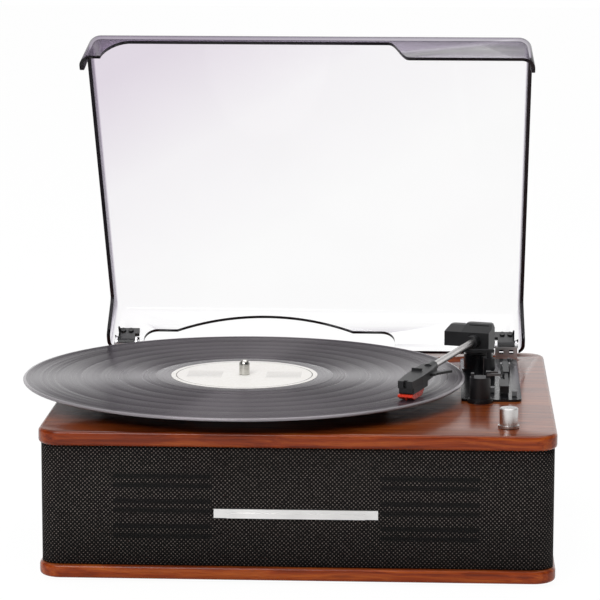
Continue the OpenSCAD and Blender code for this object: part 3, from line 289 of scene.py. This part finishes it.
def wood(name, dark, mid, light, rough=0.36, coat=0.0, topShadeTint=(1.0, 1.0, 1.0)):
    shade = Shade(name)
    warp = shade.noise(shade.place(scale=(3, 9, 9)), 2.0, 3)
    coords = shade.place(scale=(grainSet["along"], grainSet["across"], grainSet["across"]))
    bend = shade.node("ShaderNodeVectorMath", operation="ADD")
    spread = shade.node("ShaderNodeVectorMath", operation="SCALE")
    spread.inputs["Scale"].default_value = grainSet["bend"]
    shade.join(warp, spread.inputs[0])
    shade.join(coords, bend.inputs[0])
    shade.join(spread.outputs[0], bend.inputs[1])
    grain = shade.noise(bend.outputs[0], 1.0, 5, 0.65)
    pores = shade.noise(shade.place(scale=grainSet["pores"]), 1.0, 2)
    figure = shade.noise(shade.place(scale=grainSet["figure"]), 1.0, 3)
    base = shade.ramp(grain, (0.33, dark), (0.5, mid), (0.70, light))
    tint = shade.ramp(figure, (0.34, (0.66, 0.62, 0.60)), (0.62, (1.0, 1.0, 1.0)))
    colour = shade.blend(1.0, base, tint, "MULTIPLY")
    pits = shade.span(pores, 0.0, 1.0, 0.34, 0.46)
    colour = shade.blend(pits, shade.blend(1.0, colour, (0.72, 0.66, 0.6), "MULTIPLY"), colour)
    facing = shade.node("ShaderNodeSeparateXYZ")
    shade.join(shade.node("ShaderNodeNewGeometry").outputs["Normal"], facing.inputs[0])
    flat = shade.span(facing.outputs[2], 0.0, 1.0, 0.5, 0.95)  # painted shade: the top face is given a darker, cooler tint
    colour = shade.blend(flat, colour, shade.blend(1.0, colour, topShadeTint, "MULTIPLY"))
    shade.join(colour, shade.main.inputs["Base Color"])
    shade.join(shade.span(grain, rough + 0.06, rough - 0.04), shade.main.inputs["Roughness"])
    shade.put(Coat_Weight=coat, Coat_Roughness=0.2, Coat_IOR=1.3, Specular_IOR_Level=0.05)
    shade.bump(pits, 0.08, 0.0002)
    return shade.material


def clothMaterial():
    settings = {
        "pitch": 0.00135, "slotX": 0.086, "slotHalf": 0.0304, "slotR": 0.0016, "slotBlur": 0.0006,
        "slotZ": 0.05105, "pair": 0.0165, "row": 0.0031, "front": -0.1464, "slotShadeStrength": 0.85,
    }
    shade = Shade("grilleCloth")
    coords = shade.node("ShaderNodeUVMap", uv_map="weave")
    split = shade.node("ShaderNodeSeparateXYZ")
    shade.join(coords.outputs[0], split.inputs[0])
    wobble = shade.noise(coords.outputs[0], 90, 2)
    wave = math.pi / settings["pitch"]
    drift = shade.span(wobble, -0.6, 0.6)
    u = shade.math("ADD", shade.math("MULTIPLY", split.outputs[0], wave), drift)
    v = shade.math("ADD", shade.math("MULTIPLY", split.outputs[1], wave), drift)
    over = shade.math("MULTIPLY", shade.math("SINE", u), shade.math("SINE", v))
    height = shade.math("ABSOLUTE", over)
    yarn = shade.span(over, 0.0, 1.0, -1.0, 1.0)
    fleck = shade.noise(coords.outputs[0], 1400, 2)
    # painted highlight and shade: the weave's crests are coloured light and the hollows between yarns near
    # black, with random flecks varying the crests
    crestHighlight = shade.math("MULTIPLY", shade.math("POWER", yarn, 3.0), shade.span(fleck, 0.3, 1.7, 0.3, 0.7))
    colour = shade.ramp(
        crestHighlight,
        (0.0, (0.003, 0.0025, 0.0025)),
        (0.35, (0.009, 0.007, 0.006)),
        (0.95, (0.19, 0.16, 0.145)),
    )

    # painted shade: the cloth is darkened where the slots of the board lie behind it, standing in for the
    # dark seen through the weave
    spot = shade.node("ShaderNodeSeparateXYZ")
    shade.join(shade.place(), spot.inputs[0])
    x, y, z = spot.outputs
    along = shade.math("SUBTRACT", shade.math("ABSOLUTE", x), settings["slotX"])
    along = shade.math("SUBTRACT", shade.math("ABSOLUTE", along), settings["slotHalf"])
    along = shade.math("MAXIMUM", along, 0.0)
    level = shade.math("SUBTRACT", z, settings["slotZ"])
    index = shade.math("ROUND", shade.math("DIVIDE", level, settings["pair"]))
    index = shade.math("MINIMUM", shade.math("MAXIMUM", index, -1.0), 1.0)
    level = shade.math("SUBTRACT", level, shade.math("MULTIPLY", index, settings["pair"]))
    level = shade.math("ABSOLUTE", shade.math("SUBTRACT", shade.math("ABSOLUTE", level), settings["row"]))
    square = shade.math("ADD", shade.math("POWER", along, 2.0), shade.math("POWER", level, 2.0))
    radius, blur = settings["slotR"], settings["slotBlur"]
    slotShade = shade.span(shade.math("SQRT", square), 1.0, 0.0, radius - blur, radius + blur)
    slotShade = shade.math("MULTIPLY", slotShade, shade.math("LESS_THAN", y, settings["front"]))
    colour = shade.blend(shade.math("MULTIPLY", slotShade, settings["slotShadeStrength"]), colour, (0.004, 0.004, 0.004))
    shade.join(colour, shade.main.inputs["Base Color"])
    shade.put(Roughness=0.9, Specular_IOR_Level=0.2)
    shade.bump(height, 0.6, 0.0004)
    return shade.material


def coverMaterial():
    shade = Shade("smokedAcrylic")
    shade.put(Base_Color=(0.02, 0.018, 0.025), Roughness=0.04, IOR=1.49)
    clear = shade.node("ShaderNodeBsdfTransparent")
    weight = shade.node("ShaderNodeLayerWeight")
    weight.inputs["Blend"].default_value = 0.5
    facing = weight.outputs["Facing"]
    split = shade.node("ShaderNodeSeparateXYZ")
    shade.join(shade.place(), split.inputs[0])
    # painted shade: the sheet's tint darkens towards the left and the top, standing in for how the light
    # falls across it
    across = shade.span(split.outputs[0], 0.0, 0.5, -0.15, 0.15)
    height = shade.span(split.outputs[2], 0.5, 0.0, 0.16, 0.34)
    body = shade.ramp(
        shade.math("ADD", across, height),
        (0.10, (0.885, 0.850, 0.895)),
        (0.34, (0.972, 0.963, 0.975)),
        (0.62, (1.000, 0.999, 1.000)),
    )
    slant = shade.ramp(
        facing,
        (0.0, (1.0, 1.0, 1.0)),
        (0.45, (1.0, 1.0, 1.0)),
        (0.68, (0.72, 0.69, 0.75)),
        (0.86, (0.30, 0.28, 0.32)),
        (0.98, (0.08, 0.07, 0.09)),
    )
    shade.join(shade.blend(1.0, body, slant, "MULTIPLY"), clear.inputs["Color"])
    gloss = shade.node("ShaderNodeBsdfGlossy")
    gloss.inputs["Roughness"].default_value = 0.02
    bounce = shade.span(shade.math("POWER", facing, 5.0), 0.010, 0.55)
    film = shade.node("ShaderNodeMixShader")
    smear = shade.noise(shade.place(), 14, 3)
    shade.join(bounce, film.inputs[0])
    shade.join(clear.outputs[0], film.inputs[1])
    shade.join(gloss.outputs[0], film.inputs[2])
    final = shade.node("ShaderNodeMixShader")
    shade.join(shade.span(smear, 0.0, 0.02), final.inputs[0])
    shade.join(film.outputs[0], final.inputs[1])
    shade.join(shade.main.outputs[0], final.inputs[2])
    shade.join(final.outputs[0], shade.output.inputs[0])
    return shade.material


def coverEdgeMaterial():
    shade = Shade("acrylicEdge")
    haze = shade.noise(shade.place(), 60, 3)
    colour = shade.ramp(haze, (0.3, (0.005, 0.004, 0.006)), (0.8, (0.014, 0.011, 0.016)))
    shade.join(colour, shade.main.inputs["Base Color"])
    shade.join(shade.span(haze, 0.2, 0.34), shade.main.inputs["Roughness"])
    shade.put(IOR=1.45)
    return shade.material


def vinylMaterial(centre):
    settings = {"bands": 420, "wide": 80, "runOut": 0.0605, "rimAndHighlight": 0.1490}
    shade = Shade("grooveVinyl")
    reach = shade.polar(centre)[1]
    line = shade.node("ShaderNodeCombineXYZ")
    shade.join(reach, line.inputs[0])
    bands = shade.noise(line.outputs[0], settings["bands"], 5, 0.75)
    wide = shade.noise(line.outputs[0], settings["wide"], 3)
    tone = shade.ramp(wide, (0.3, (0.014, 0.010, 0.015)), (0.7, (0.030, 0.024, 0.032)))
    # painted sheen: fine concentric rings are coloured lighter, standing in for light caught by the grooves
    fine = shade.ramp(bands, (0.46, (0.0, 0.0, 0.0)), (0.66, (0.040, 0.034, 0.041)))
    tone = shade.blend(1.0, tone, fine, "ADD")
    runOut = shade.math("LESS_THAN", reach, settings["runOut"])
    # painted highlight: the outer rim is coloured light grey, as if catching the light; it is also made
    # smoother
    rimAndHighlight = shade.math("GREATER_THAN", reach, settings["rimAndHighlight"])
    shade.join(shade.blend(rimAndHighlight, tone, (0.24, 0.225, 0.24)), shade.main.inputs["Base Color"])
    rough = shade.span(bands, 0.20, 0.42, 0.32, 0.68)
    smooth = shade.math("ADD", shade.math("MULTIPLY", runOut, 0.14), shade.math("MULTIPLY", rimAndHighlight, 0.12))
    shade.join(shade.math("SUBTRACT", rough, smooth), shade.main.inputs["Roughness"])
    shade.put(IOR=1.6, Anisotropic=1.0, Anisotropic_Rotation=0.25, Specular_Tint=(1.0, 0.91, 0.97))
    tangent = shade.node("ShaderNodeTangent", direction_type="RADIAL", axis="Z")
    shade.join(tangent.outputs[0], shade.main.inputs["Tangent"])
    shade.bump(bands, 0.3, 0.0004)
    return shade.material


def labelMaterial(centre):
    settings = {
        "ring": 0.0465, "ringHalf": 0.0003, "blockX": 0.027, "blockHalf": 0.012,
        "blockDeep": 0.011, "row": 0.0044, "rowShare": 0.14, "fade": 0.6,
    }
    shade = Shade("labelPaper")
    axes, reach = shade.polar(centre)
    fibre = shade.noise(shade.place(), 700, 3)
    paper = shade.ramp(fibre, (0.3, (0.82, 0.80, 0.75)), (0.7, (0.92, 0.91, 0.88)))
    ring = shade.near(reach, settings["ring"], settings["ringHalf"])
    within = shade.near(shade.math("ABSOLUTE", axes[0]), settings["blockX"], settings["blockHalf"])
    deep = shade.near(axes[1], 0.0, settings["blockDeep"])
    rows = shade.math("FRACT", shade.math("DIVIDE", axes[1], settings["row"]))
    stripe = shade.near(rows, 0.5, settings["rowShare"])
    lines = shade.math("MULTIPLY", shade.math("MULTIPLY", within, deep), stripe)
    marks = shade.math("MAXIMUM", ring, shade.math("MULTIPLY", lines, settings["fade"]))
    shade.join(shade.blend(marks, paper, (0.12, 0.11, 0.10)), shade.main.inputs["Base Color"])
    shade.put(Roughness=0.5)
    shade.bump(fibre, 0.1, 0.0001)
    return shade.material


def middle(node):
    low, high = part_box(node)
    return (low + high) / 2


spindleAt = middle("spindle")
looks = {
    "veneer": wood(
        "veneer", (0.170, 0.021, 0.003), (0.330, 0.048, 0.005), (0.500, 0.110, 0.015),
        # the tint of the painted shade on the top face
        coat=1.0, topShadeTint=(0.62, 0.78, 0.95),
    ),
    "plain_wood": wood(
        "plainWood", (0.34, 0.20, 0.10), (0.46, 0.30, 0.17), (0.60, 0.42, 0.26), rough=0.6,
    ),
    "baffle_board": wood(
        "baffleBoard", (0.03, 0.018, 0.012), (0.05, 0.03, 0.02), (0.08, 0.05, 0.034), rough=0.7,
    ),
    "cloth": clothMaterial(),
    "chrome": metal("chrome", (0.72, 0.72, 0.74), 0.14, (1, 1, 30), 0.05),
    "nickel": metal("nickel", (0.62, 0.61, 0.57), 0.22, (1, 1, 20), 0.08),
    "steel": metal("steel", (0.50, 0.50, 0.51), 0.32, (1, 6, 1), 0.1),
    "dark_screw": metal("darkScrew", (0.05, 0.05, 0.05), 0.4),
    "rubber": plastic("rubber", (0.012, 0.012, 0.012), 0.75, 1200, 0.4),
    "black_plastic": plastic("blackPlastic", (0.006, 0.006, 0.007), 0.36, 1400, 0.2),
    "gloss_black": plastic("glossBlack", (0.005, 0.005, 0.006), 0.18, 700, 0.04),
    "grey_plastic": plastic("greyPlastic", (0.13, 0.13, 0.135), 0.4, 1400, 0.2, 1.2),
    "red_plastic": plastic("redPlastic", (0.75, 0.045, 0.018), 0.25, 900, 0.05, 1.2),
    "paper_cone": plastic("paperCone", (0.02, 0.02, 0.02), 0.85, 500, 0.6),
    "ferrite": plastic("ferrite", (0.03, 0.03, 0.032), 0.6, 700, 0.3),
    "circuit": plastic("circuitBoard", (0.02, 0.10, 0.035), 0.3, 500, 0.1),
    "brass": metal("brass", (0.62, 0.42, 0.15), 0.22, (1, 1, 20)),
    "platter_metal": metal("platterMetal", (0.16, 0.16, 0.17), 0.4, (1, 1, 6)),
    "aluminium": metal("aluminium", (0.80, 0.78, 0.77), 0.27, (1, 1, 25), 0.1),
    "vinyl": vinylMaterial(spindleAt),
    "label_paper": labelMaterial(spindleAt),
    "smoked_acrylic": coverMaterial(),
}
coverEdge = coverEdgeMaterial()

# nodes whose finish differs from that of their slot
ownLooks = {
    "badge_bar": metal("barChrome", (0.94, 0.93, 0.92), 0.30, (1, 1, 30), 0.05),
    "rest_clip": metal("clipSteel", (0.16, 0.16, 0.165), 0.35, (1, 1, 20), 0.08),
    "hinge_bracket_left": metal("bracketZinc", (0.86, 0.86, 0.87), 0.34, (1, 6, 1), 0.1),
}
ownLooks["hinge_bracket_right"] = ownLooks["hinge_bracket_left"]


def dressNodes():
    slotOf = {s["node"]: s["material_slot"] for s in frame["record"]["subparts"]}
    for name, thing in frame["nodes"].items():
        look = ownLooks.get(name) or looks[slotOf[name]]
        if not thing.material_slots:
            thing.data.materials.append(look)
        for place in thing.material_slots:
            place.material = look


dressNodes()
print("materials made")


# Helpers for meshes

def newPiece(name, mesh, look, body):
    thing = bpy.data.objects.new(name, mesh)
    bpy.context.scene.collection.objects.link(thing)
    mesh.materials.append(look)
    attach(thing, body)
    return thing


def meshFrom(bm, name, sharp):
    mesh = bpy.data.meshes.new(name)
    bmesh.ops.recalc_face_normals(bm, faces=bm.faces)
    bm.to_mesh(mesh)
    bm.free()
    for polygon in mesh.polygons:
        polygon.use_smooth = True
    mesh.set_sharp_from_angle(angle=math.radians(sharp))
    return mesh


def roundedRect(width, depth, radius, steps, centre):
    points = []
    corners = [(1, 1, 0), (-1, 1, 90), (-1, -1, 180), (1, -1, 270)]
    for sx, sy, start in corners:
        cx = centre[0] + sx * (width / 2 - radius)
        cy = centre[1] + sy * (depth / 2 - radius)
        for i in range(steps + 1):
            angle = math.radians(start + 90 * i / steps)
            points.append((cx + radius * math.cos(angle), cy + radius * math.sin(angle)))
    return points


def mergedCopy(node):
    bm = bmesh.new()
    bm.from_mesh(frame["nodes"][node].data)
    bmesh.ops.remove_doubles(bm, verts=bm.verts, dist=0.000002)
    return bm


# Boards: the CAD board with its long edges rounded over

boards = {"corner": 0.015, "round": 0.0022, "steps": 5, "sharp": 25}


def makeBoard(name, node):
    low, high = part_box(node)
    half = (high - low) / 2
    corner = boards["corner"]

    def onOutline(vert):
        x = abs(vert.co.x) - half.x + corner
        y = abs(vert.co.y) - half.y + corner
        reach = math.hypot(max(x, 0), max(y, 0)) + min(max(x, y), 0)
        return abs(reach - corner) < 0.0001

    bm = mergedCopy(node)
    bmesh.ops.dissolve_limit(bm, angle_limit=0.01, verts=bm.verts, edges=bm.edges)
    level = [e for e in bm.edges if abs(e.verts[0].co.z - e.verts[1].co.z) < 0.00001]
    rims = [e for e in level if all(onOutline(v) for v in e.verts)]
    bmesh.ops.bevel(
        bm, geom=rims, offset=boards["round"], offset_type="OFFSET", segments=boards["steps"],
        profile=0.5, affect="EDGES", material=-1, clamp_overlap=False,
    )
    bmesh.ops.triangulate(bm, faces=bm.faces)
    piece = newPiece(name, meshFrom(bm, name, boards["sharp"]), looks["veneer"], "cabinet")
    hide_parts(node)


makeBoard("deckBoard", "top_board")
makeBoard("baseBoard", "base_board")
print("boards made")


# Grille cloth

def makeCloth():
    low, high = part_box("grille_cloth")
    settings = {"radius": 0.0135, "thick": 0.00072, "wrap": 0.022, "steps": 12}
    width, depth = high.x - low.x, high.y - low.y
    outline = roundedRect(width, depth, settings["radius"], settings["steps"], (0, (low.y + high.y) / 2))
    edgeX = width / 2 - settings["wrap"]
    half = len(outline) // 4
    path = [(-edgeX, high.y)] + outline[half:] + outline[:half] + [(edgeX, high.y)]
    bm = bmesh.new()
    along = bm.verts.layers.float.new("along")
    weave = bm.loops.layers.uv.new("weave")
    line = [bm.verts.new((x, y, low.z)) for x, y in path]
    for first, second in zip(line, line[1:]):
        bm.edges.new((first, second))
        second[along] = first[along] + (second.co - first.co).length
    sheet = bmesh.ops.extrude_edge_only(bm, edges=bm.edges)["geom"]
    raised = [v for v in sheet if isinstance(v, bmesh.types.BMVert)]
    bmesh.ops.translate(bm, verts=raised, vec=(0, 0, high.z - low.z))
    for face in bm.faces:
        for loop in face.loops:
            loop[weave].uv = (loop.vert[along], loop.vert.co.z)
    inward = [f for f in bm.faces if f.normal.dot(f.calc_center_median() * Vector((1, 1, 0))) < 0]
    bmesh.ops.reverse_faces(bm, faces=inward)
    mesh = bpy.data.meshes.new("clothWrap")
    bm.to_mesh(mesh)
    bm.free()
    for polygon in mesh.polygons:
        polygon.use_smooth = True
    piece = newPiece("clothWrap", mesh, looks["cloth"], "cabinet")
    solid = piece.modifiers.new("thick", "SOLIDIFY")
    solid.thickness = settings["thick"]
    solid.offset = -1
    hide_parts("grille_cloth")


makeCloth()
print("cloth made")


# Record

def makeRecord():
    settings = {
        "hole": 0.00363, "edge": 0.0006, "lip": 0.0001, "lipIn": 0.0016, "flatIn": 0.0030,
        "slopeIn": 0.0044, "sink": 0.0002, "gapHalf": 0.0006, "gapDeep": 0.00015, "label": 0.0520,
        "gaps": (0.1445, 0.1275, 0.1120, 0.0985, 0.0850, 0.0700, 0.0615), "steps": 180, "sharp": 50,
    }
    low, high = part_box("record")
    radius = (high.x - low.x) / 2
    edge = settings["edge"]
    top = high.z - settings["sink"]
    section = [
        (settings["hole"], low.z),
        (radius - edge, low.z),
        (radius, low.z + edge),
        (radius, high.z - edge - settings["lip"]),
        (radius - edge, high.z - settings["lip"]),
        (radius - settings["lipIn"], high.z),
        (radius - settings["flatIn"], high.z),
        (radius - settings["slopeIn"], top),
    ]
    half = settings["gapHalf"]
    for gap in settings["gaps"]:
        section += [(gap + half, top), (gap, top - settings["gapDeep"]), (gap - half, top)]
    section += [(settings["label"], top), (settings["hole"], top)]
    bm = bmesh.new()
    verts = [bm.verts.new((r, 0, z)) for r, z in section]
    edges = [bm.edges.new((a, b)) for a, b in zip(verts, verts[1:] + verts[:1])]
    bmesh.ops.spin(
        bm, geom=verts + edges, cent=(0, 0, 0), axis=(0, 0, 1),
        angle=math.tau, steps=settings["steps"], use_merge=True,
    )
    bmesh.ops.translate(bm, verts=bm.verts, vec=(spindleAt.x, spindleAt.y, 0))
    mesh = meshFrom(bm, "recordDisc", settings["sharp"])
    piece = newPiece("recordDisc", mesh, looks["vinyl"], "platter")
    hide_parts("record")


makeRecord()
print("record made")


# Dust cover: the sheet is clear, and its cut edges are dark

def makeCover():
    settings = {
        "open": 56.0, "back": 0.138, "side": 0.1465, "top": 0.138, "slope": 0.364,
        "foot": 0.101, "wall": 0.006, "square": 0.1, "sharp": 35,
    }
    axis = middle("hinge_pins")
    shut = Matrix.Rotation(math.radians(settings["open"]), 3, "X")
    bm = mergedCopy("dust_cover")
    mesh = bpy.data.meshes.new("coverSheet")
    bm.to_mesh(mesh)
    bm.free()
    piece = newPiece("coverSheet", mesh, looks["smoked_acrylic"], "lid")
    mesh.materials.append(coverEdge)
    for polygon in mesh.polygons:
        place = shut @ (polygon.center - axis) + axis
        normal = shut @ polygon.normal
        front = -settings["back"] + (place.z - settings["foot"]) * settings["slope"] + settings["wall"]
        cut = False
        if place.z < settings["top"]:
            if abs(place.x) > settings["side"]:
                cut = abs(normal.x) < settings["square"]
            elif place.y < front or place.y > settings["back"] - settings["wall"]:
                cut = abs(normal.y) < settings["square"]
        polygon.material_index = 1 if cut else 0
        polygon.use_smooth = True
    mesh.set_sharp_from_angle(angle=math.radians(settings["sharp"]))
    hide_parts("dust_cover")


makeCover()
print("cover made")


# Floor

def makeFloor():
    settings = {"half": 6, "glow": 1.02, "share": 0.95}  # the camera sees it nearly white
    bm = bmesh.new()
    bmesh.ops.create_grid(bm, x_segments=1, y_segments=1, size=settings["half"])
    mesh = bpy.data.meshes.new("floor")
    bm.to_mesh(mesh)
    bm.free()
    floor = bpy.data.objects.new("floor", mesh)
    bpy.context.scene.collection.objects.link(floor)
    shade = Shade("floorWhite")
    shade.put(Base_Color=(0.82, 0.82, 0.82), Roughness=0.9)
    glow = shade.node("ShaderNodeEmission")
    glow.inputs["Strength"].default_value = settings["glow"]
    path = shade.node("ShaderNodeLightPath")
    mix = shade.node("ShaderNodeMixShader")
    shade.join(shade.math("MULTIPLY", path.outputs["Is Camera Ray"], settings["share"]), mix.inputs[0])
    shade.join(shade.main.outputs[0], mix.inputs[1])
    shade.join(glow.outputs[0], mix.inputs[2])
    shade.join(mix.outputs[0], shade.output.inputs[0])
    mesh.materials.append(shade.material)


makeFloor()
print("scene made")
